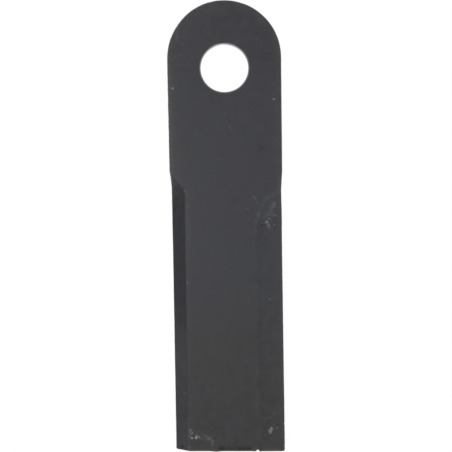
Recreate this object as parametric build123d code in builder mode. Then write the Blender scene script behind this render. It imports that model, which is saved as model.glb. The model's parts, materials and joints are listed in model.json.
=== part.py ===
from build123d import *
import os

# Chopping blade of a straw or forage chopper: one flat steel knife that swings on a bolt through
# its round head. It can be turned over when one side is worn, because its two long edges are worked
# on opposite faces: each edge has a steep bevel on one face and a shallow hollow relief on the other.
# All lengths are in millimetres. The origin is the centre of the pivot hole, halfway through the
# plate. +Y runs up to the crown of the head, +X to the right as the front face is seen, and +Z out
# of the front face. Half a turn about the Y axis brings the two faces and the two edges to match.

# The whole knife, cut from flat bar
overall_length = 200.0
bar_width = 50.5
plate_thickness = 5.0

# Pivot hole in the round head, and the plain shank down to the shoulders
bore_diameter = 21.2
bore_to_head_centre = 5.0
shank_length = 45.6

# Shoulders, and the working part below them down to the tip, which is cropped a little askew
shoulder_length = 8.3
tip_skew = 0.92
corner_radius = 0.8

# The corner on the short side of the tip is worn back, further along the tip than up the side
worn_along_tip = 6.3
worn_up_side = 0.6

# How much each side closes in along the shank, at the shoulder, and from there to the tip
shank_taper = 0.3
shoulder_step = 0.65
tip_taper = 0.2

# Steep bevel along each cutting edge, with a slanting run-out at the shoulder
bevel_width = 5.85
edge_land = 0.6
runout_blend_radius = 9.0

# Shallow hollow relief behind each cutting edge, on the opposite face
relief_width = 12.2
relief_depth = 0.6
relief_gap = 0.6
relief_runout_length = 18.4

# Edges softened by blanking and shot blasting
rim_rounding = 1.2
bore_rounding = 0.3

# Nick knocked out of the tip
nick_radius = 0.75
nick_depth = 0.65
nick_offset = 12.1

# How far a cutting body reaches past the steel that it removes
cut_reach = 2.0

# Heights and places that follow from the sizes above
head_radius = bar_width / 2
face_z = plate_thickness / 2
edge_z = relief_depth + edge_land - face_z
crown_y = bore_to_head_centre + head_radius
tip_y = crown_y - overall_length
shank_end_y = -shank_length
blade_start_y = shank_end_y - shoulder_length
shank_end_x = head_radius - shank_taper
edge_x = shank_end_x - shoulder_step
tip_x = edge_x - tip_taper
ridge_x = edge_x - bevel_width


# Steel removed by the steep bevel at the left of the front face. Its section is the triangle above
# the bevel. A slanting plane ends it at the shoulder, and a fillet blends that plane into the bevel.
with BuildPart() as steep_bevel:
    with BuildSketch(Plane.XZ):
        ridge = Vector(-ridge_x, face_z)
        slope = Vector(-edge_x, edge_z) - ridge
        outer_run = shank_end_x + cut_reach - ridge_x
        above_ridge = ridge - slope * (cut_reach / bevel_width)
        past_edge = ridge + slope * (outer_run / bevel_width)
        with BuildLine():
            Polyline(above_ridge, past_edge, (past_edge.X, above_ridge.Y), close=True)
        make_face()
    extrude(amount=overall_length)

    shoulder_corner = Vector(-shank_end_x, shank_end_y, face_z)
    ridge_end = Vector(-ridge_x, blade_start_y, face_z)
    edge_end = Vector(-edge_x, blade_start_y, edge_z)
    crease = ridge_end - shoulder_corner
    foot_line = ridge_end - edge_end
    runout_plane = Plane(shoulder_corner, x_dir=crease, z_dir=crease.cross(foot_line))
    split(bisect_by=runout_plane, keep=Keep.TOP)
    runout_foot = steep_bevel.edges().sort_by_distance((ridge_end + edge_end) / 2)[0]
    fillet(runout_foot, radius=runout_blend_radius)


# Steel removed by the hollow relief at the right of the front face: the lowest stretch of a large
# circle, run along the edge, then swung up on a larger one where the grinding wheel leaves the steel.
with BuildPart() as hollow_relief:
    relief_floor = face_z - relief_depth
    hollow_radius = (relief_width**2 + relief_depth**2) / (2 * relief_depth)
    wheel_radius = (relief_runout_length**2 + relief_depth**2) / (2 * relief_depth)
    full_depth_y = blade_start_y - relief_gap - relief_runout_length

    with BuildSketch(Plane.XZ.offset(-full_depth_y)) as relief_section:
        with Locations((edge_x, relief_floor + hollow_radius)):
            Circle(hollow_radius)
        with Locations((edge_x, face_z)):
            Rectangle(2 * (relief_width + cut_reach), 2 * cut_reach, mode=Mode.INTERSECT)
    extrude(amount=overall_length)
    wheel_axis = Axis((0, full_depth_y, relief_floor + wheel_radius), (1, 0, 0))
    revolve(relief_section.sketch, axis=wheel_axis, revolution_arc=10)


with BuildPart() as chopping_blade:
    # Blank: a round head, tangent shank sides, sloping shoulders and nearly parallel blade sides
    with BuildSketch() as blank:
        with BuildLine():
            head_circle = CenterArc(
                (0, bore_to_head_centre), head_radius, 0, 360, mode=Mode.PRIVATE
            )
            shank_side = ConstrainedLines(
                head_circle,
                (shank_end_x, shank_end_y),
                selector=lambda lines: lines.sort_by(Axis.X)[-1],
            )
            TangentArc(shank_side @ 0, (0, crown_y), tangent=shank_side @ 0 - shank_side @ 1)
            Line(shank_side @ 1, (edge_x, blade_start_y))
            blade_side = PolarLine(
                (edge_x, blade_start_y),
                blade_start_y - tip_y + cut_reach,
                direction=(tip_x - edge_x, tip_y - blade_start_y),
            )
            Line(blade_side @ 1, (0, (blade_side @ 1).Y))
            mirror(about=Plane.YZ)
        make_face()
    extrude(amount=face_z, both=True)
    blank_faces = chopping_blade.faces().filter_by(Axis.Z)
    fillet(blank_faces.edges().filter_by_position(Axis.Y, tip_y, crown_y), radius=rim_rounding)

    # Tip, cropped askew, with the short side's corner worn back, both corners rounded and a nick
    with BuildSketch() as cropped:
        add(blank.sketch)
        with Locations(Location((0, tip_y, 0), (0, 0, -tip_skew))):
            Rectangle(
                overall_length,
                2 * overall_length,
                align=(Align.CENTER, Align.MIN),
                mode=Mode.INTERSECT,
            )
            with Locations((nick_offset, nick_depth - nick_radius)):
                Circle(nick_radius, mode=Mode.SUBTRACT)
        short_corner = cropped.vertices().sort_by_distance((-tip_x, tip_y))[0]
        short_side = cropped.edges().sort_by_distance((-tip_x, tip_y + worn_up_side))[0]
        chamfer(short_corner, length=worn_up_side, length2=worn_along_tip, reference=short_side)
        worn_corner = cropped.vertices().sort_by_distance((-tip_x, tip_y + worn_up_side))[0]
        long_corner = cropped.vertices().sort_by_distance((tip_x, tip_y))[0]
        fillet([worn_corner, long_corner], radius=corner_radius)
    extrude(amount=face_z, both=True, mode=Mode.INTERSECT)

    # What is ground away at the left of the front face is ground away at the right of the back face
    with Locations(Location(), Location((0, 0, 0), (0, 180, 0))):
        add(steep_bevel.part, mode=Mode.SUBTRACT)
        add(hollow_relief.part, mode=Mode.SUBTRACT)

    # Pivot hole
    Hole(bore_diameter / 2)
    bore_rims = chopping_blade.edges().filter_by(GeomType.CIRCLE).sort_by_distance((0, 0, 0))
    fillet(bore_rims[:2], radius=bore_rounding)


chopping_blade.part.label = "chopping_blade"
os.makedirs("parts", exist_ok=True)
export_step(chopping_blade.part, "parts/chopping_blade.step")
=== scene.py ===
import json
import math

import bmesh
import bpy
import numpy as np
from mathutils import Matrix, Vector, noise
from mathutils.geometry import delaunay_2d_cdt


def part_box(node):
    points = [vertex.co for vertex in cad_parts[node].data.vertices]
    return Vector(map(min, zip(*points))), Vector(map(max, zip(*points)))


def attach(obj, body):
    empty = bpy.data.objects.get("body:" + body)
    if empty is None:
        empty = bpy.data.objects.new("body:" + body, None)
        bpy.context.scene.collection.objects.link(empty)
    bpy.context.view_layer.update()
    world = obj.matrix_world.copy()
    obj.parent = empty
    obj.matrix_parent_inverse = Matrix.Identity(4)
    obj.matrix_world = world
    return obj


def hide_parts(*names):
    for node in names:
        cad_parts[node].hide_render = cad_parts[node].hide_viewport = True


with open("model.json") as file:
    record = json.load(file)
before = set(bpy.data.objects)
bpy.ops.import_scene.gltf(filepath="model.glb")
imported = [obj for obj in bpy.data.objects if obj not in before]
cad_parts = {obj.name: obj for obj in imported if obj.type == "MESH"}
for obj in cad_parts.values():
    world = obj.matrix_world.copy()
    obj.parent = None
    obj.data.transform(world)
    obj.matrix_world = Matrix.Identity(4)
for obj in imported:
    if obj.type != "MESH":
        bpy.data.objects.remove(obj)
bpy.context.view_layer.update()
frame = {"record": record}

# One painted steel chopping blade, lying on its back face. The mesh is worked out in millimetres
# and made in metres. +Y runs up to the crown of the round head, -Y to the tip, and +Z out of the
# front face. The back face is worked like the front one, turned over.

MM = 0.001
NODE = "chopping_blade"
node_low, node_high = (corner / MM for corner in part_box(NODE))
bore = next(m for m in frame["record"]["mounts"] if m["name"] == "pivot_bore")

# Sizes that follow from the frame
FACE_Z = node_high.z
HEAD_RADIUS = node_high.x
HEAD_Y = node_high.y - HEAD_RADIUS
TIP_Y = node_high.y - 200
BORE_RADIUS = bore["dims"]["r_mm"]
BORE_ROUNDING = FACE_Z - bore["dims"]["length_mm"] / 2

# Outline below the head
SHANK_X, SHANK_Y = HEAD_RADIUS - 0.3, -45.6
BLADE_X, BLADE_Y = SHANK_X - 0.65, SHANK_Y - 8.3
TIP_X = BLADE_X - 0.2
TIP_SKEW = math.tan(math.radians(0.92))
WORN_ALONG_TIP = 6.3
WORN_UP_SIDE = 0.6
CORNER_RADIUS = 0.8
NICK_X = 12.1
NICK_RADIUS = 0.75
NICK_DEPTH = 0.65

# Steep bevel and hollow relief
RIDGE_X = BLADE_X - 5.85
RELIEF_WIDTH = 12.2
RELIEF_DEPTH = 0.6
RELIEF_RUNOUT = 18.4
RELIEF_FULL_Y = BLADE_Y - 0.6 - RELIEF_RUNOUT
EDGE_Z = RELIEF_DEPTH + 0.6 - FACE_Z
BEVEL_SLOPE = (FACE_Z - EDGE_Z) / (BLADE_X - RIDGE_X)

# Heights over which two worked surfaces run into each other
RIDGE_BLEND = 0.06
RELIEF_BLEND = 0.03
RUNOUT_BLEND = 0.65

# Mesh spacings
CELL = 0.7
BESIDE_RIDGE = (-1.3, -0.85, -0.5, -0.3, -0.15, -0.05, 0.05, 0.15, 0.35, 0.7, 1.1)
MARK_CELL = 0.16
RIM_STEP = 0.4
TIP_STEP = 0.2
RIM_ANGLES = [math.radians(a) for a in (0, 15, 30, 45, 60, 75, 90)]
WALL_ROWS = 5

# Marks on the front face: place, half length, half width, turn in degrees, depth, bare steel, stain.
# A mark with bare steel is a chip or scuff in the paint, one with stain is a dark spot, and the bare steel at the top
# end of the ridge is a painted highlight.
MARKS = [
    # White chips and scuffs at the short corner of the tip
    (-15.1, -163.4, 1.0, 0.75, 80, 0.10, 0.68, 0),
    (-17.0, -163.6, 0.95, 0.65, 15, 0.08, 0.48, 0),
    (-13.9, -163.2, 1.2, 0.45, -60, 0.06, 0.30, 0),
    (-17.0, -161.5, 1.1, 0.45, 40, 0.05, 0.28, 0),
    (-17.6, -160.3, 1.3, 0.75, 80, 0.04, 0.20, 0),
    (-18.1, -162.6, 0.6, 0.5, 0, 0.04, 0.20, 0),
    (-15.0, -161.3, 1.0, 0.35, 60, 0.03, 0.09, 0),
    (-16.2, -162.7, 0.7, 0.5, 30, 0.04, 0, 0.5),
    (-15.8, -164.3, 1.6, 0.35, 0, 0.03, 0, 0.4),
    (-13.4, -164.6, 0.6, 0.4, -30, 0.03, 0, 0.5),
    (-17.9, -155.0, 0.6, 0.35, 90, 0.02, 0.10, 0),
    (-19.9, -153.7, 1.3, 0.45, 0, 0.02, 0, 0.45),
    (-16.3, -162.1, 0.6, 0.5, 0, 0.03, 0.10, 0),
    (-14.5, -162.1, 0.7, 0.6, 0, 0.03, 0.11, 0),
    (-12.9, -163.5, 0.8, 0.6, 0, 0.03, 0.07, 0),
    (-13.6, -160.5, 0.8, 0.5, 45, 0.02, 0.05, 0),
    (-18.5, -162.0, 6.5, 0.6, 90, 0.02, 0.045, 0),
    (-15.0, -161.8, 4.0, 3.2, 0, 0.0, 0.016, 0),
    (-12.3, -164.3, 1.2, 0.8, 0, 0.02, 0.05, 0),
    (-18.5, -167.9, 1.0, 0.7, 90, 0.02, 0.12, 0),
    # Streak beside them, and the run that it leaves
    (-11.2, -162.7, 2.2, 0.8, -28, 0.03, 0.07, 0),
    (-9.3, -164.0, 1.9, 1.0, -32, 0.06, 0.16, 0),
    (-7.9, -164.9, 1.0, 0.7, -20, 0.04, 0.12, 0),
    (-10.2, -164.3, 1.0, 0.7, -30, 0.02, 0.07, 0),
    (-8.1, -166.2, 1.8, 0.8, 90, 0.02, 0.08, 0),
    (-6.6, -164.0, 0.5, 0.5, 0, 0.02, 0, 0.4),
    # Deep chip by the long corner, with what was knocked up round it
    (17.7, -161.0, 1.6, 1.15, 68, 0.14, 0.34, 0),
    (18.3, -160.2, 1.0, 0.8, 75, 0.05, 0.46, 0),
    (16.0, -160.1, 1.4, 0.5, 70, 0.05, 0, 0.30),
    (17.0, -157.6, 1.3, 0.4, 20, 0.03, 0, 0.35),
    (20.8, -159.8, 0.55, 0.5, 0, 0.05, 0.20, 0),
    (21.4, -158.7, 0.7, 0.5, 0, 0.03, 0, 0.5),
    (15.4, -162.6, 0.9, 0.3, 10, 0.02, 0.03, 0),
    (16.0, -164.8, 1.0, 0.35, 0, 0.03, 0, 0.35),
    (18.9, -163.1, 0.8, 0.35, 40, 0.02, 0.03, 0),
    (17.9, -164.2, 0.7, 0.5, 0, 0.02, 0.03, 0),
    (19.7, -153.3, 1.2, 0.8, 60, 0.02, 0.045, 0),
    (17.2, -155.1, 1.5, 0.5, 5, 0.02, 0.06, 0),
    # Scuffs and speckles where the hollow relief runs out
    (17.6, -64.5, 7.5, 4.2, 62, 0.0, 0.022, 0),
    (20.2, -61.3, 3.0, 1.7, 65, 0.03, 0.06, 0),
    (20.9, -61.1, 2.1, 1.2, 65, 0.04, 0.12, 0),
    (18.6, -65.0, 2.1, 1.3, 30, 0.04, 0.08, 0),
    (19.6, -63.0, 1.8, 1.0, 60, 0.03, 0.08, 0),
    (21.5, -65.6, 0.8, 0.6, 20, 0.05, 0.15, 0),
    (20.4, -65.6, 0.8, 0.6, 0, 0.03, 0.07, 0),
    (18.3, -67.1, 1.1, 0.6, 10, 0.04, 0.15, 0),
    (17.7, -68.6, 1.1, 0.8, -25, 0.06, 0.32, 0),
    (18.5, -70.0, 1.3, 0.95, 80, 0.05, 0.18, 0),
    (21.0, -69.7, 0.8, 0.55, 0, 0.04, 0.15, 0),
    (16.5, -66.4, 0.9, 0.4, 70, 0.03, 0.10, 0),
    (16.4, -69.0, 0.6, 0.5, 0, 0.02, 0.07, 0),
    (19.3, -71.4, 0.9, 0.7, 0, 0.02, 0.07, 0),
    (13.6, -159.5, 4.0, 0.6, 90, 0.0, 0.02, 0),
    (17.0, -73.0, 0.8, 0.4, 60, 0.02, 0.07, 0),
    (19.6, -67.9, 0.5, 1.1, 0, 0.02, 0.06, 0),
    (16.1, -67.6, 0.9, 0.7, 0, 0.04, 0, 0.40),
    (15.6, -70.1, 0.9, 0.9, 0, 0.05, 0, 0.50),
    (17.1, -69.9, 0.6, 0.7, 0, 0.04, 0, 0.40),
    (14.2, -71.7, 0.8, 0.7, 60, 0.03, 0, 0.25),
    (21.6, -71.2, 0.6, 1.1, -20, 0.03, 0, 0.35),
    (17.5, -72.6, 0.6, 0.6, 0, 0.03, 0, 0.25),
    (22.3, -61.8, 0.5, 1.6, 0, 0.03, 0, 0.20),
    (20.1, -66.6, 0.5, 0.4, 0, 0.02, 0, 0.25),
    # Light arc along the foot of the run-out
    (20.9, -56.4, 2.4, 1.2, 60, 0.02, 0.022, 0),
    (18.3, -57.6, 1.8, 1.2, 40, 0.02, 0.035, 0),
    (17.0, -59.2, 1.4, 0.9, 60, 0.02, 0.03, 0),
    (15.6, -61.4, 1.9, 1.0, 50, 0.02, 0.035, 0),
    (15.0, -63.0, 1.5, 0.9, 60, 0.02, 0.03, 0),
    (14.0, -64.9, 1.8, 1.0, 65, 0.02, 0.06, 0),
    (12.9, -68.0, 1.9, 1.1, 72, 0.02, 0.04, 0),
    (12.6, -71.2, 2.8, 1.0, 86, 0.02, 0.02, 0),
    # Small scuffs above it
    (12.3, -57.7, 1.4, 0.75, -55, 0.03, 0.075, 0),
    (13.4, -59.9, 0.9, 0.6, -60, 0.03, 0.055, 0),
    (10.4, -58.2, 0.8, 0.5, 20, 0.02, 0.035, 0),
    (9.1, -62.4, 1.4, 0.6, -18, 0.02, 0.045, 0),
    (15.0, -57.6, 0.8, 0.5, 0, 0.02, 0, 0.12),
    (14.6, -59.0, 0.7, 0.5, 0, 0.02, 0, 0.12),
    (11.5, -59.6, 0.6, 0.4, 0, 0.02, 0, 0.12),
    # Bright specks
    (-23.3, -8.7, 0.9, 0.7, 0, 0.05, 0.32, 0),
    (21.6, -14.1, 0.7, 0.65, 0, 0.06, 0.36, 0),
    (-3.3, -40.2, 0.45, 0.35, 80, 0.04, 0.16, 0),
    (-17.9, -94.7, 0.5, 0.4, 20, 0.04, 0.26, 0),
    (18.3, -102.8, 0.5, 0.45, 0, 0.04, 0.22, 0),
    (-20.1, -143.8, 0.9, 0.5, 0, 0.03, 0.08, 0),
    # Painted highlight at the top end of the ridge, over a small dent
    (-18.5, -54.2, 0.7, 0.5, 60, 0.02, 0.12, 0),
    # Worn spots round the head
    (-21.0, 13.4, 1.3, 0.8, 70, 0.02, 0.045, 0),
    (-20.9, 16.0, 0.9, 0.6, 50, 0.02, 0.04, 0),
    (-19.8, 18.0, 0.9, 0.5, 45, 0.02, 0.03, 0),
    (-16.0, 22.2, 1.1, 0.6, 35, 0.02, 0.045, 0),
    (-18.5, 10.6, 1.0, 0.8, 0, 0.02, 0.03, 0),
    (-19.6, 6.0, 1.2, 0.9, 0, 0.02, 0.025, 0),
    (22.4, 12.7, 1.4, 0.6, -65, 0.02, 0.045, 0),
    (17.6, 16.8, 0.7, 0.6, 0, 0.02, 0.05, 0),
    (14.5, 13.0, 0.8, 0.6, 0, 0.02, 0.03, 0),
    (18.9, 7.2, 0.9, 0.6, 80, 0.02, 0.03, 0),
    (19.4, 4.2, 0.8, 0.5, 80, 0.02, 0.03, 0),
    # Faint rubbing below the pivot hole
    (-0.1, -20.8, 1.6, 0.5, 70, 0.01, 0.035, 0),
    (-3.3, -27.4, 1.2, 0.6, 60, 0.01, 0.035, 0),
    (2.1, -26.6, 1.8, 0.5, -60, 0.01, 0.035, 0),
    (-2.8, -23.8, 1.2, 0.5, 30, 0.01, 0.03, 0),
    (0.6, -24.0, 0.9, 0.4, 80, 0.01, 0.03, 0),
    # Dark spots
    (15.9, -36.0, 2.0, 1.8, 0, 0.0, 0, 0.34),
    (16.1, -35.8, 4.2, 3.4, 0, 0.0, 0, 0.16),
    (3.3, -58.9, 3.6, 2.2, 55, 0.0, 0, 0.15),
    (6.5, -55.0, 5.0, 2.2, 50, 0.0, 0, 0.09),
    (-1.0, -70.5, 5.0, 2.6, 20, 0.0, 0, 0.08),
    (-21.3, -167.6, 1.1, 0.7, -10, 0.05, 0, 0.75),
    (-6.5, 22.7, 2.6, 1.2, 0, 0.0, 0, 0.12),
    (1.5, 21.0, 3.6, 1.8, 0, 0.0, 0, 0.10),
]

# Stretches of the sheared tip with a dark line just above it: from, to, strength
TIP_DARK = [(-5.2, -2.2, 1.0), (-2.2, 3.0, 0.6), (3.0, 9.4, 0.9), (12.9, 13.9, 0.6)]
TORN_LINE = 1.15


def soft_min(a, b, blend):
    """The lower of two heights, with the corner between them rounded over the height blend."""
    h = np.clip(0.5 + 0.5 * (b - a) / blend, 0, 1)
    return b * (1 - h) + a * h - blend * h * (1 - h)


def soft_max(a, b, blend):
    return -soft_min(-a, -b, blend)


def smooth_step(low, high, value):
    t = np.clip((value - low) / (high - low), 0, 1)
    return t * t * (3 - 2 * t)


def steep_bevel(x, y):
    """Height of the steep bevel at the left of the front face, with its slanting run-out."""
    bevel = FACE_Z + (x + RIDGE_X) * BEVEL_SLOPE
    run_slope = -BEVEL_SLOPE * (SHANK_X - RIDGE_X) / (BLADE_Y - SHANK_Y)
    runout = FACE_Z + (x + SHANK_X) * BEVEL_SLOPE + (y - SHANK_Y) * run_slope
    return soft_max(bevel, runout, RUNOUT_BLEND)


def hollow_relief(x, y):
    """Height of the shallow hollow at the right of the front face, with its round run-out."""
    floor = FACE_Z - RELIEF_DEPTH
    hollow_radius = (RELIEF_WIDTH**2 + RELIEF_DEPTH**2) / (2 * RELIEF_DEPTH)
    wheel_radius = (RELIEF_RUNOUT**2 + RELIEF_DEPTH**2) / (2 * RELIEF_DEPTH)
    across = x - BLADE_X
    reach = wheel_radius - hollow_radius + np.sqrt(hollow_radius**2 - across**2)
    along = np.maximum(y - RELIEF_FULL_Y, 0)
    return floor + wheel_radius - np.sqrt(reach**2 - along**2)


def worked_height(x, y):
    """Height of the front face with its bevel and relief."""
    height = soft_min(np.full_like(x, FACE_Z), steep_bevel(x, y), RIDGE_BLEND)
    return soft_min(height, hollow_relief(x, y), RELIEF_BLEND)


def field(x, y, size, seed, octaves=1):
    """Smooth noise over the plan, about -1 to 1, with features of the given size."""
    total = np.zeros(len(x))
    weight = 1.0
    for _ in range(octaves):
        spots = np.stack([x / size, y / size], axis=1).tolist()
        total += weight * np.array([noise.noise(Vector((u, v, seed))) for u, v in spots])
        size, weight, seed = size / 2, weight / 2, seed + 7.3
    return total


def mark_reach(x, y, mark):
    """How far into a mark each point lies: 1 at its middle, 0 at its torn edge."""
    mx, my, half_length, half_width, turn = mark[:5]
    cos, sin = math.cos(math.radians(turn)), math.sin(math.radians(turn))
    along = ((x - mx) * cos + (y - my) * sin) / half_length
    across = ((y - my) * cos - (x - mx) * sin) / half_width
    return 1 - np.hypot(along, across)


def marked(x, y):
    """Depth, steel showing through (and one painted highlight) and stain that the marks give each point of the front
    face.
    """
    depth, bare_and_highlight, stain = np.zeros(len(x)), np.zeros(len(x)), np.zeros(len(x))
    for i, mark in enumerate(MARKS):
        mark_depth, mark_bare_and_highlight, mark_stain = mark[5:]
        near = np.nonzero(mark_reach(x, y, mark) > -0.6)[0]
        if not len(near):
            continue
        inside = mark_reach(x[near], y[near], mark) + 0.45 * field(x[near], y[near], 0.7, i * 3.7)
        share = smooth_step(0, 0.55, inside)
        depth[near] = np.maximum(depth[near], share * mark_depth)
        bare_and_highlight[near] = np.maximum(bare_and_highlight[near], share * mark_bare_and_highlight)
        stain[near] = np.maximum(stain[near], share * mark_stain)
    return depth, bare_and_highlight, stain


# ---------------------------------------------------------------- outline

def corner_arc(before, corner, after, radius, step):
    """Points of the arc that rounds a corner, and where it starts and ends."""
    to_before = np.subtract(before, corner) / np.hypot(*np.subtract(before, corner))
    to_after = np.subtract(after, corner) / np.hypot(*np.subtract(after, corner))
    half = math.acos(np.clip(to_before @ to_after, -1, 1)) / 2
    middle = to_before + to_after
    centre = corner + middle / np.hypot(*middle) * radius / math.sin(half)
    start = corner + to_before * radius / math.tan(half)
    end = corner + to_after * radius / math.tan(half)
    first, last = start - centre, end - centre
    turn = math.atan2(first[0] * last[1] - first[1] * last[0], first @ last)
    count = max(4, math.ceil(abs(turn) * radius / step))
    angles = turn * np.arange(count + 1) / count
    cos, sin = np.cos(angles), np.sin(angles)
    arc = np.stack([cos * first[0] - sin * first[1], sin * first[0] + cos * first[1]], axis=1)
    return arc + centre


def straight(start, end, step):
    """Points from start to end, without either of them."""
    count = max(1, round(float(np.hypot(*np.subtract(end, start))) / step))
    t = np.arange(1, count)[:, None] / count
    return np.array(start) * (1 - t) + np.array(end) * t


def tip_edge(x):
    """Where the sheared tip lies at each place across the blade, with its nick and burrs."""
    edge = TIP_Y - TIP_SKEW * x
    lift = NICK_DEPTH * (1 - ((x - NICK_X) / NICK_RADIUS) ** 2)
    edge = edge + soft_max(lift, np.zeros_like(x), 0.15)
    edge -= 0.26 * np.exp(-(((x + 6.3) / 1.5) ** 2))
    edge -= 0.07 * smooth_step(13, 15, x)
    edge -= 0.16 * np.exp(-(((x - NICK_X - 1.3) / 0.5) ** 2))
    edge -= 0.10 * np.exp(-(((x - NICK_X + 1.5) / 0.6) ** 2))
    return edge


def blade_outline():
    """Closed outline of the blade, counterclockwise as the front face is seen."""
    down = math.atan2(SHANK_Y - HEAD_Y, SHANK_X)
    side_angle = math.acos(HEAD_RADIUS / math.hypot(SHANK_X, SHANK_Y - HEAD_Y)) + down
    count = math.ceil((math.pi - 2 * side_angle) * HEAD_RADIUS / RIM_STEP)
    angles = np.linspace(side_angle, math.pi - side_angle, count)
    head = np.stack([HEAD_RADIUS * np.cos(angles), HEAD_Y + HEAD_RADIUS * np.sin(angles)], axis=1)

    worn = (-TIP_X + WORN_ALONG_TIP, TIP_Y + TIP_SKEW * (TIP_X - WORN_ALONG_TIP))
    left = [
        (tuple(head[-1]), 0),
        ((-SHANK_X, SHANK_Y), 3.0),
        ((-BLADE_X, BLADE_Y + 1.6), 9.0),
        ((-TIP_X, TIP_Y + TIP_SKEW * TIP_X + WORN_UP_SIDE), CORNER_RADIUS),
        (worn, 8.0),
        ((0, TIP_Y), 0),
    ]
    right = [
        (tuple(head[0]), 0),
        ((SHANK_X, SHANK_Y), 8.0),
        ((BLADE_X, BLADE_Y), 24.0),
        ((TIP_X, TIP_Y - TIP_SKEW * TIP_X), CORNER_RADIUS),
        ((0, TIP_Y), 0),
    ]
    sides = []
    for corners in (left, right):
        points = [np.array([corners[0][0]])]
        for before, (corner, radius), after in zip(corners, corners[1:], corners[2:]):
            arc = corner_arc(before[0], corner, after[0], radius, min(RIM_STEP, radius / 6))
            points.append(straight(points[-1][-1], arc[0], RIM_STEP))
            points.append(arc)
        sides.append(np.concatenate(points))
    to_tip, from_tip = sides[0], sides[1][::-1]
    reach = from_tip[0][0] - to_tip[-1][0]
    places = to_tip[-1][0] + reach * np.arange(1, round(reach / TIP_STEP)) / round(reach / TIP_STEP)
    beside_nick = NICK_X + np.arange(-1.5, 1.6, TIP_STEP / 2)
    places = np.sort(np.concatenate([places[np.abs(places - NICK_X) > 1.6], beside_nick]))
    tip = np.stack([places, tip_edge(places)], axis=1)
    outline = np.concatenate([head, to_tip[1:], tip, from_tip[:-1]])

    # Sheared and knocked edges are never quite true
    x, y = outline.T
    left, right = x < 0, x > 0
    wander = 0.04 * field(x, y, 5, 2.0)
    wander += left * 0.14 * smooth_step(-47, -42, y) * smooth_step(8, 2, y)
    wander -= left * 0.14 * np.exp(-(((y - 19) / 5) ** 2))
    wander += right * 0.15 * np.exp(-(((y + 67) / 7) ** 2))
    wander += np.sign(x) * 0.06 * smooth_step(-70, -80, y) * smooth_step(TIP_Y + 2, TIP_Y + 4, y)
    rough = 0.025 * field(x, y, 1.3, 9.0)
    rough += 0.08 * field(x, y, 0.8, 14.0) * left * smooth_step(-56, -50, y)
    rough += left * 0.10 * np.exp(-(((y + 45.2) / 1.3) ** 2))
    rough -= right * 0.12 * np.exp(-(((y + 158.0) / 0.4) ** 2))
    return outline + outward(outline) * wander[:, None], rough


def outward(points):
    ahead = np.roll(points, -1, axis=0) - np.roll(points, 1, axis=0)
    ahead /= np.hypot(ahead[:, 0], ahead[:, 1])[:, None]
    return np.stack([ahead[:, 1], -ahead[:, 0]], axis=1)


def rim_rounding(points):
    """How far in and how far down each point's rim is rounded: widely at the head and shank, and
    little along the cutting edges and the tip."""
    x, y = points.T
    shank = smooth_step(BLADE_Y, SHANK_Y, y)
    inward = 0.35 + (1.2 + 0.5 * smooth_step(5, -15, x) - 0.35) * shank
    down = 0.2 + 0.95 * shank
    at_tip = smooth_step(TIP_Y + 1.6, TIP_Y + 0.9, y + TIP_SKEW * x)
    from_corner = smooth_step(TIP_X - 1, TIP_X - 6, np.abs(x))
    from_nick = smooth_step(1.1, 3.0, np.abs(x - NICK_X))
    inward += at_tip * (0.35 * from_corner * from_nick - 0.1 - 0.1 * (1 - from_nick))
    inward -= 0.1 * (1 - shank) * smooth_step(TIP_Y + 3, TIP_Y + 1, y)
    down += at_tip * 0.1
    return inward, down


# ---------------------------------------------------------------- mesh

class Shell:
    """Collects the vertices, their surface values and the faces of the blade's mesh."""

    VALUES = ("side", "rim", "bore")

    def __init__(self):
        self.rows = []
        self.faces = []
        self.count = 0

    def add(self, xy, z, side, rim=0.0, in_bore=0.0):
        n = len(xy)
        extra = [np.broadcast_to(v, n) for v in (side, rim, in_bore)]
        self.rows.append(np.column_stack([xy, z, *extra]))
        self.count += n
        return np.arange(self.count - n, self.count)

    def band(self, one, other):
        corners = np.stack([one, np.roll(one, -1), np.roll(other, -1), other], axis=1)
        self.faces.extend(map(tuple, corners.tolist()))


def inside_loop(points, loop):
    """Whether each point lies inside a closed loop, by counting crossings."""
    inside = np.zeros(len(points), bool)
    x, y = points.T
    for (x1, y1), (x2, y2) in zip(loop, np.roll(loop, -1, axis=0)):
        if y1 != y2:
            crosses = (y1 > y) != (y2 > y)
            inside ^= crosses & (x < (x2 - x1) * (y - y1) / (y2 - y1) + x1)
    return inside


def gap_to(points, others):
    """Distance from each point to the nearest of the others."""
    gaps = np.empty(len(points))
    for i in range(0, len(points), 1500):
        between = points[i:i + 1500, None, :] - others[None, :, :]
        gaps[i:i + 1500] = np.sqrt((between**2).sum(axis=2).min(axis=1))
    return gaps


def grid(columns, rows):
    x, y = np.meshgrid(columns, rows)
    return np.column_stack([x.ravel(), y.ravel()])


def spaced(low, high, cell, centres=()):
    """Places from low to high, with closer ones on and beside each of the centres."""
    places = np.arange(low, high, cell)
    for centre in centres:
        beside = centre + np.array(BESIDE_RIDGE)
        places = places[(places < beside[0] - 0.2) | (places > beside[-1] + 0.2)]
        places = np.concatenate([places, beside])
    return np.sort(places)


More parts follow.
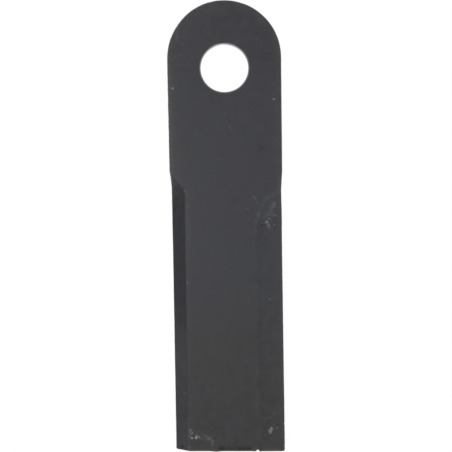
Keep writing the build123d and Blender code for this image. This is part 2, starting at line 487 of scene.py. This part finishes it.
def face_cells(side):
    """Points inside one face: an even grid, closer beside the ridges and at the marks."""
    columns = spaced(-HEAD_RADIUS, HEAD_RADIUS, CELL, (-side * RIDGE_X, side * (BLADE_X - RELIEF_WIDTH)))
    head_rows = spaced(SHANK_Y + 2, HEAD_Y + HEAD_RADIUS, CELL)
    shoulder_rows = spaced(RELIEF_FULL_Y, SHANK_Y + 1.8, CELL / 2)
    tip_rows = spaced(TIP_Y - 1, RELIEF_FULL_Y - 0.3, CELL)
    cells = grid(columns, np.concatenate([tip_rows, shoulder_rows, head_rows]))
    if side < 0:
        return cells
    fine = []
    for mark in MARKS:
        mx, my, half_length, half_width = mark[:4]
        if max(half_length, half_width) > 2.5:
            continue
        reach = max(half_length, half_width) * 1.5
        steps = np.arange(-reach, reach, MARK_CELL)
        patch = grid(steps + mx, steps + my)
        patch = patch[mark_reach(patch[:, 0], patch[:, 1], mark) > -0.55]
        fine.append(patch)
    fine = np.concatenate(fine)
    keys = np.unique(np.round(fine / MARK_CELL).astype(int), axis=0)
    fine = keys * MARK_CELL
    cells = cells[gap_to(cells, fine) > MARK_CELL]
    return np.concatenate([cells, fine])


def face_sheet(shell, side, rim_loop, rim_xy, bore_loop, bore_xy, height):
    """Fills one face between the loops round its rim and round the bore."""
    cells = face_cells(side)
    hole = float(np.hypot(bore_xy[:, 0], bore_xy[:, 1]).max())
    cells = cells[np.hypot(cells[:, 0], cells[:, 1]) > hole + 0.15]
    cells = cells[inside_loop(cells, rim_xy)]
    near = gap_to(cells, rim_xy)
    cells = cells[near > 0.15]
    everything = np.concatenate([rim_xy, bore_xy, cells])
    n_rim, n_bore = len(rim_xy), len(bore_xy)
    edges = [(i, (i + 1) % n_rim) for i in range(n_rim)]
    edges += [(n_rim + i, n_rim + (i + 1) % n_bore) for i in range(n_bore)]
    coords = [Vector(p) for p in everything.tolist()]
    found, _, triangles, origins, _, _ = delaunay_2d_cdt(coords, edges, [], 1, 1e-7)
    own = shell.add(cells, height(cells[:, 0], cells[:, 1]), side)
    index = np.concatenate([rim_loop, bore_loop, own])
    for triangle in triangles:
        middle = sum((found[i] for i in triangle), Vector((0, 0))) / 3
        if middle.length > hole * 0.97:
            shell.faces.append(tuple(int(index[origins[i][0]]) for i in triangle))


def surface(side):
    """Height of a face: the front one for side 1, and for -1 the back one, which is the front
    turned over."""
    def height(x, y):
        z = side * worked_height(side * x, y)
        z += 0.03 * field(x, y, 16, 3.1 + side) + 0.006 * field(x, y, 2.2, 5.7 + side)
        if side > 0:
            z -= marked(x, y)[0] + 0.07 * dark_tip_line(x, y)
        return z
    return height


def dark_tip_line(x, y):
    """Strength of the dark line that runs just above the sheared tip."""
    from_tip = y - (TIP_Y - TIP_SKEW * x) + 0.2 * field(x, y, 0.9, 31.0)
    torn = np.zeros(len(x))
    for start, end, strength in TIP_DARK:
        here = smooth_step(start - 0.7, start + 0.7, x) * smooth_step(end + 0.7, end - 0.7, x)
        torn = np.maximum(torn, here * strength)
    line = smooth_step(0.1, 0.75, from_tip) * smooth_step(2.4, 1.2, from_tip)
    return torn * line


def blade_shell():
    shell = Shell()
    outline, rough = blade_outline()
    normals = outward(outline)
    inward, down = rim_rounding(outline)
    turns = np.linspace(0, 2 * math.pi, 132, endpoint=False)
    round_bore = np.column_stack([np.cos(turns), np.sin(turns)])
    bore_radius = BORE_RADIUS + 0.03 * field(*(round_bore.T * 3), 1.5, 4.0)
    bore_radius += 0.17 * np.maximum(np.sin(turns), 0) + 0.10 * np.exp(-(((turns - math.radians(97)) / 0.22) ** 2))

    walls, bores = {}, {}
    for side in (1, -1):
        height = surface(side)
        rims, holes = [], []
        for angle in RIM_ANGLES:
            back, drop = 1 - math.cos(angle), 1 - math.sin(angle)
            ring = outline - normals * (inward * back - rough * (1 - back))[:, None]
            z = height(*ring.T) - side * down * drop
            rims.append((shell.add(ring, z, side, rim=drop), ring))
            ring = round_bore * (bore_radius + BORE_ROUNDING * back)[:, None]
            z = height(*ring.T) - side * BORE_ROUNDING * drop
            holes.append((shell.add(ring, z, side, rim=drop, in_bore=1.0), ring))
        margin = np.minimum(0.35, inward * 0.5 + 0.05)
        ring = outline - normals * (inward + margin)[:, None]
        rims.append((shell.add(ring, height(*ring.T), side), ring))
        ring = round_bore * (bore_radius + BORE_ROUNDING + 0.35)[:, None]
        holes.append((shell.add(ring, height(*ring.T), side), ring))
        for loops in (rims, holes):
            for one, other in zip(loops, loops[1:]):
                shell.band(one[0], other[0])
        face_sheet(shell, side, *rims[-1], *holes[-1], height)
        walls[side], bores[side] = rims[0][0], holes[0][0]

    made = np.concatenate(shell.rows)
    loose_wall = outline + normals * rough[:, None]
    for loops, xy, in_bore in ((walls, loose_wall, 0.0), (bores, round_bore * bore_radius[:, None], 1.0)):
        top, bottom = made[loops[1], 2], made[loops[-1], 2]
        rows = [loops[1]]
        for i in range(1, WALL_ROWS):
            t = i / WALL_ROWS
            z = top * (1 - t) + bottom * t
            torn = 0.02 * field(xy[:, 0] * 3 + z, xy[:, 1] * 3, 2.0, 20.0 + i)
            facing = outward(xy) if in_bore == 0 else -xy / BORE_RADIUS
            rows.append(shell.add(xy + facing * np.minimum(torn, 0)[:, None], z, 0, 0.3, in_bore))
        rows.append(loops[-1])
        for one, other in zip(rows, rows[1:]):
            shell.band(one, other)
    return shell


def surface_values(rows, outline):
    """What the material needs to know at each vertex, as numbers from 0 to 1."""
    x, y, z, side, rim, in_bore = rows.T
    turned = np.where(side < 0, -x, x)
    on_face = np.abs(side)
    bevel_drop = FACE_Z - steep_bevel(turned, y)
    relief_drop = FACE_Z - hollow_relief(turned, y)
    facet = smooth_step(BLADE_Y - 0.4, BLADE_Y + 1.0, y)
    bevel = smooth_step(0.0, 0.09, bevel_drop) * on_face
    from_ridge = turned + RIDGE_X
    # Rubbed paint and painted highlight on the face beside the steep ridge
    rub_and_highlight = smooth_step(0.2, 0.8, from_ridge) * smooth_step(2.8, 1.4, from_ridge)
    rub_and_highlight *= 0.3 + 0.7 * smooth_step(-88, -72, y)
    rub_and_highlight *= smooth_step(-53, -57, y)
    front = side > 0
    bare_and_highlight, stain = np.zeros(len(x)), np.zeros(len(x))
    _, bare_and_highlight[front], stain[front] = marked(x[front], y[front])
    from_tip = y - (TIP_Y - TIP_SKEW * x)
    # The dark line above the sheared tip is darkened along with the stains
    stain[front] = np.maximum(stain[front], dark_tip_line(x[front], y[front]))
    to_rim = gap_to(rows[:, :2], outline)
    return {
        "rim": rim,
        "bore": in_bore,
        "bevel": bevel * (1 - facet),
        # The run-out facet carries a painted highlight, and its foot painted shade
        "facet": bevel * facet,
        "facet_foot": smooth_step(BLADE_Y + 3.6, BLADE_Y, y),
        "hollow": smooth_step(0.0, 0.05, relief_drop) * on_face,
        # Painted highlight along the hollow's ridge, partly worn paint
        "hollow_ridge_wear_and_highlight": np.exp(-(((relief_drop - 0.03) / 0.05) ** 2)) * on_face,
        "ridge_rub_and_highlight": rub_and_highlight * on_face,
        # Worn paint and painted sheen close to the rim
        "edge": np.exp(-to_rim / 0.7) * on_face * (1 - 0.7 * bevel * (1 - facet)),
        # Painted light towards the left rim of the head and shank
        "left_painted_light": np.exp(-to_rim / 3.5) * on_face * smooth_step(6, -6, turned) * smooth_step(-60, -52, y),
        # Painted highlight along the right rim of the head and shank
        "right_painted_highlight": np.exp(-to_rim / 1.3) * on_face * smooth_step(0, 8, turned) * smooth_step(-60, -52, y),
        # Chips and scuffs, and one painted highlight at the top end of the ridge
        "bare_and_highlight": bare_and_highlight,
        "stain": stain,
        "sheared": smooth_step(0.85, 0.55, from_tip),
    }


def blade_mesh():
    shell = blade_shell()
    rows = np.concatenate(shell.rows)
    mesh = bpy.data.meshes.new("painted_blade")
    mesh.from_pydata((rows[:, :3] * MM).tolist(), [], shell.faces)
    for name, values in surface_values(rows, blade_outline()[0]).items():
        layer = mesh.attributes.new(name, "FLOAT", "POINT")
        layer.data.foreach_set("value", np.ascontiguousarray(values, dtype=np.float32))
    work = bmesh.new()
    work.from_mesh(mesh)
    bmesh.ops.recalc_face_normals(work, faces=work.faces)
    work.to_mesh(mesh)
    work.free()
    print("TRIANGLES", sum(len(f.vertices) - 2 for f in mesh.polygons))
    mesh.shade_smooth()
    mesh.set_sharp_from_angle(angle=math.radians(50))
    return mesh


# ---------------------------------------------------------------- material

class Graph:
    """Short ways to add nodes to a material and to join them."""

    def __init__(self, name):
        self.material = bpy.data.materials.new(name)
        self.material.use_nodes = True
        self.tree = self.material.node_tree
        self.shader = self.tree.nodes["Principled BSDF"]

    def node(self, kind, **settings):
        made = self.tree.nodes.new(kind)
        for key, value in settings.items():
            setattr(made, key, value)
        return made

    def put(self, socket, value):
        """Joins an output to a socket, or sets the socket to a number or colour."""
        if isinstance(value, bpy.types.NodeSocket):
            self.tree.links.new(value, socket)
        elif isinstance(value, tuple) and len(value) == 3 and socket.type == "RGBA":
            socket.default_value = (*value, 1)
        else:
            socket.default_value = value

    def math(self, operation, *values):
        made = self.node("ShaderNodeMath", operation=operation)
        for socket, value in zip(made.inputs, values):
            self.put(socket, value)
        return made.outputs[0]

    def between(self, value, low, high, to_low=0.0, to_high=1.0):
        made = self.node("ShaderNodeMapRange", interpolation_type="SMOOTHSTEP")
        for socket, given in zip(made.inputs, (value, low, high, to_low, to_high)):
            self.put(socket, given)
        return made.outputs["Result"]

    def blend(self, share, one, other):
        made = self.node("ShaderNodeMix", data_type="RGBA")
        self.put(made.inputs["Factor"], share)
        self.put(made.inputs[6], one)
        self.put(made.inputs[7], other)
        return made.outputs[2]

    def scaled(self, colour, factor):
        made = self.node("ShaderNodeVectorMath", operation="SCALE")
        self.put(made.inputs[0], colour)
        self.put(made.inputs["Scale"], factor)
        return made.outputs[0]

    def attribute(self, name):
        return self.node("ShaderNodeAttribute", attribute_name=name).outputs["Fac"]

    def noise(self, place, scale, detail=2.0, roughness=0.5):
        made = self.node("ShaderNodeTexNoise")
        self.put(made.inputs["Vector"], place)
        self.put(made.inputs["Scale"], scale)
        self.put(made.inputs["Detail"], detail)
        self.put(made.inputs["Roughness"], roughness)
        return made.outputs["Fac"]


def painted_steel():
    """Thin satin paint over rolled steel: blue-violet at the head and neutral towards the tip,
    darker on the steep bevel, lighter at the rims as worn paint and painted sheen, with painted
    highlights on the run-out facet, the ridges and the right rim, painted shade at the foot of the
    facet, painted light over the hollow and the left side, and broken by scuffs and stains."""
    g = Graph("dark_paint")
    in_mm = g.node("ShaderNodeVectorMath", operation="SCALE")
    g.put(in_mm.inputs[0], g.node("ShaderNodeTexCoord").outputs["Object"])
    g.put(in_mm.inputs["Scale"], 1 / MM)
    place = in_mm.outputs[0]
    axes = g.node("ShaderNodeSeparateXYZ")
    g.put(axes.inputs[0], place)
    along = axes.outputs["Y"]
    drawn = g.node("ShaderNodeMapping")
    g.put(drawn.inputs["Vector"], place)
    drawn.inputs["Scale"].default_value = (1.6, 0.09, 1.6)

    cloud = g.noise(place, 0.06, 3)
    patch = g.noise(place, 0.25, 4, 0.6)
    grain = g.noise(place, 1.4, 3, 0.6)
    streak = g.noise(drawn.outputs[0], 1.0, 3, 0.6)

    # Colour of the sound paint
    shifted = g.math("ADD", along, g.math("MULTIPLY", g.math("SUBTRACT", cloud, 0.5), 60.0))
    blue = g.between(shifted, -128.0, -92.0)
    violet = g.math("MULTIPLY", g.between(cloud, 0.40, 0.56), g.between(shifted, -85.0, -20.0, 0.2, 1.0))
    paint = g.blend(blue, (0.0383, 0.0382, 0.0405), (0.0372, 0.0388, 0.0460))
    paint = g.blend(violet, paint, (0.0393, 0.0374, 0.0462))
    tone = g.math("ADD", g.between(patch, 0.3, 0.7, 0.86, 1.13), g.between(grain, 0.3, 0.7, -0.05, 0.05))
    paint = g.scaled(paint, tone)

    # Ground surfaces
    bevel = g.attribute("bevel")
    lower = g.between(along, -100.0, -126.0, 0.0, 1.0)
    bevel_tone = g.math("MULTIPLY", g.between(streak, 0.3, 0.7, 0.93, 1.07), g.between(patch, 0.3, 0.7, 0.93, 1.07))
    ground = g.blend(lower, (0.0272, 0.0278, 0.0335), (0.0450, 0.0438, 0.0480))
    ground = g.blend(g.between(cloud, 0.42, 0.58), ground, g.scaled(ground, 0.93))
    ground = g.scaled(ground, bevel_tone)
    paint = g.blend(bevel, paint, ground)
    # Painted highlight on the slanting run-out facet, turning to painted shade at its foot
    facet_highlight_and_shade = g.blend(g.attribute("facet_foot"), (0.0460, 0.0430, 0.0540), (0.0240, 0.0225, 0.0320))
    paint = g.blend(g.attribute("facet"), paint, g.scaled(facet_highlight_and_shade, tone))
    # Painted light: the hollow is lightened to come out as bright as the face, with grinding streaks in it
    hollow_tone = g.between(streak, 0.3, 0.7, 1.04, 1.16)
    hollow = g.attribute("hollow")
    paint = g.blend(hollow, paint, g.scaled(paint, hollow_tone))
    # Painted highlight along the hollow's ridge, partly worn paint
    ridge_wear_and_highlight = g.math("MULTIPLY", g.attribute("hollow_ridge_wear_and_highlight"), g.between(patch, 0.3, 0.6, 0.08, 0.20))
    paint = g.blend(ridge_wear_and_highlight, paint, (0.090, 0.090, 0.092))
    # Rubbed paint and painted highlight on the face beside the steep ridge
    rub_and_highlight = g.math("MULTIPLY", g.attribute("ridge_rub_and_highlight"), g.between(g.noise(place, 0.8, 3, 0.6), 0.35, 0.62, 0.05, 0.42))
    paint = g.blend(rub_and_highlight, paint, (0.075, 0.075, 0.080))

    # Painted light and sheen at the sides and rims, then wear, stains and chips
    speckle = g.noise(place, 0.9, 3, 0.7)
    # Painted light: the face lighter towards the left rim of the head and shank
    lit = g.math("MULTIPLY", g.attribute("left_painted_light"), g.between(patch, 0.3, 0.7, 0.30, 0.60))
    paint = g.blend(lit, paint, (0.070, 0.070, 0.074))
    # Painted highlight along the right rim of the head and shank
    lit = g.math("MULTIPLY", g.attribute("right_painted_highlight"), g.between(patch, 0.3, 0.7, 0.45, 0.85))
    paint = g.blend(lit, paint, (0.082, 0.082, 0.081))
    # Worn paint and painted sheen along the rims and their roundings
    edge = g.math("MULTIPLY", g.attribute("edge"), g.between(speckle, 0.35, 0.65, 0.20, 0.80))
    paint = g.blend(edge, paint, (0.075, 0.075, 0.074))
    rim = g.between(g.attribute("rim"), 0.0, 0.35)
    worn = g.math("MULTIPLY", rim, g.between(speckle, 0.35, 0.65, 0.2, 1.0))
    paint = g.blend(worn, paint, (0.110, 0.109, 0.103))
    paint = g.blend(g.attribute("sheared"), paint, (0.078, 0.063, 0.050))
    paint = g.blend(g.attribute("stain"), paint, (0.010, 0.010, 0.011))
    paint = g.blend(g.math("MULTIPLY", g.attribute("bore"), 0.6), paint, (0.30, 0.30, 0.31))
    # Steel at chips and scuffs, and the painted highlight at the top end of the ridge
    bare_and_highlight = g.attribute("bare_and_highlight")
    paint = g.blend(bare_and_highlight, paint, (0.40, 0.40, 0.41))
    g.put(g.shader.inputs["Base Color"], paint)

    rough = g.between(patch, 0.3, 0.7, 0.38, 0.47)
    rough = g.math("ADD", rough, g.between(grain, 0.3, 0.7, -0.03, 0.03))
    in_bore = g.attribute("bore")
    rough = g.math("SUBTRACT", rough, g.math("MULTIPLY", in_bore, 0.37))
    g.put(g.shader.inputs["Roughness"], rough)
    g.shader.inputs["Specular IOR Level"].default_value = 0.32

    fine = g.noise(place, 3.0, 3, 0.6)
    bump = g.node("ShaderNodeBump")
    bump.inputs["Strength"].default_value = 0.35
    bump.inputs["Distance"].default_value = 0.012 * MM
    g.put(bump.inputs["Height"], g.math("ADD", fine, g.math("MULTIPLY", streak, g.math("MAXIMUM", bevel, hollow))))
    g.put(g.shader.inputs["Normal"], bump.outputs[0])
    return g.material


def floor_material():
    """Near-white floor: bright to the camera and in reflections, but dimmed by the blade's shadow."""
    g = Graph("floor")
    g.shader.inputs["Base Color"].default_value = (0.8, 0.8, 0.8, 1)
    g.shader.inputs["Specular IOR Level"].default_value = 0
    glow = g.node("ShaderNodeEmission")
    glow.inputs["Strength"].default_value = 1.04
    path = g.node("ShaderNodeLightPath")
    seen = g.math("MAXIMUM", path.outputs["Is Camera Ray"], path.outputs["Is Glossy Ray"])
    mix = g.node("ShaderNodeMixShader")
    g.put(mix.inputs[0], g.math("MULTIPLY", seen, 0.93))
    g.put(mix.inputs[1], g.shader.outputs[0])
    g.put(mix.inputs[2], glow.outputs[0])
    g.put(g.tree.nodes["Material Output"].inputs["Surface"], mix.outputs[0])
    return g.material


mesh = blade_mesh()
blade = bpy.data.objects.new("painted_blade", mesh)
bpy.context.scene.collection.objects.link(blade)
blade.data.materials.append(painted_steel())
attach(blade, "root")
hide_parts(NODE)

# ---------------------------------------------------------------- floor, light and camera

bpy.ops.mesh.primitive_plane_add(size=4, location=(0, 0, (-FACE_Z - 0.06) * MM))
floor = bpy.context.object
floor.name = "floor"
floor.data.materials.append(floor_material())

world = bpy.data.worlds.new("studio")
bpy.context.scene.world = world
world.use_nodes = True
sky = world.node_tree.nodes["Background"]
sky.inputs["Color"].default_value = (1, 1, 1, 1)
sky.inputs["Strength"].default_value = 0.55


def soft_box(name, place, size, power):
    light = bpy.data.lights.new(name, "AREA")
    light.shape = "RECTANGLE"
    light.size, light.size_y = size
    light.energy = power
    lamp = bpy.data.objects.new(name, light)
    lamp.location = place
    aim = Vector((0, -70 * MM, 0)) - Vector(place)
    lamp.rotation_euler = aim.to_track_quat("-Z", "Y").to_euler()
    bpy.context.scene.collection.objects.link(lamp)


soft_box("overhead_light", (-0.20, -0.03, 0.9), (0.5, 0.8), 1.0)
soft_box("left_light", (-0.20, -0.07, 0.45), (0.10, 0.4), 0.38)

# Camera, square above the blade
CAMERA_HEIGHT = 700
VIEW_WIDTH = 200.24
camera_data = bpy.data.cameras.new("camera")
camera_data.sensor_width = 36
camera_data.lens = 36 * CAMERA_HEIGHT / VIEW_WIDTH
camera = bpy.data.objects.new("camera", camera_data)
camera.location = Vector((-0.41, -69.96, FACE_Z + CAMERA_HEIGHT)) * MM
camera.rotation_euler = (0, 0, math.radians(-0.915))
bpy.context.scene.collection.objects.link(camera)
bpy.context.scene.camera = camera
bpy.context.scene.view_settings.view_transform = "Standard"
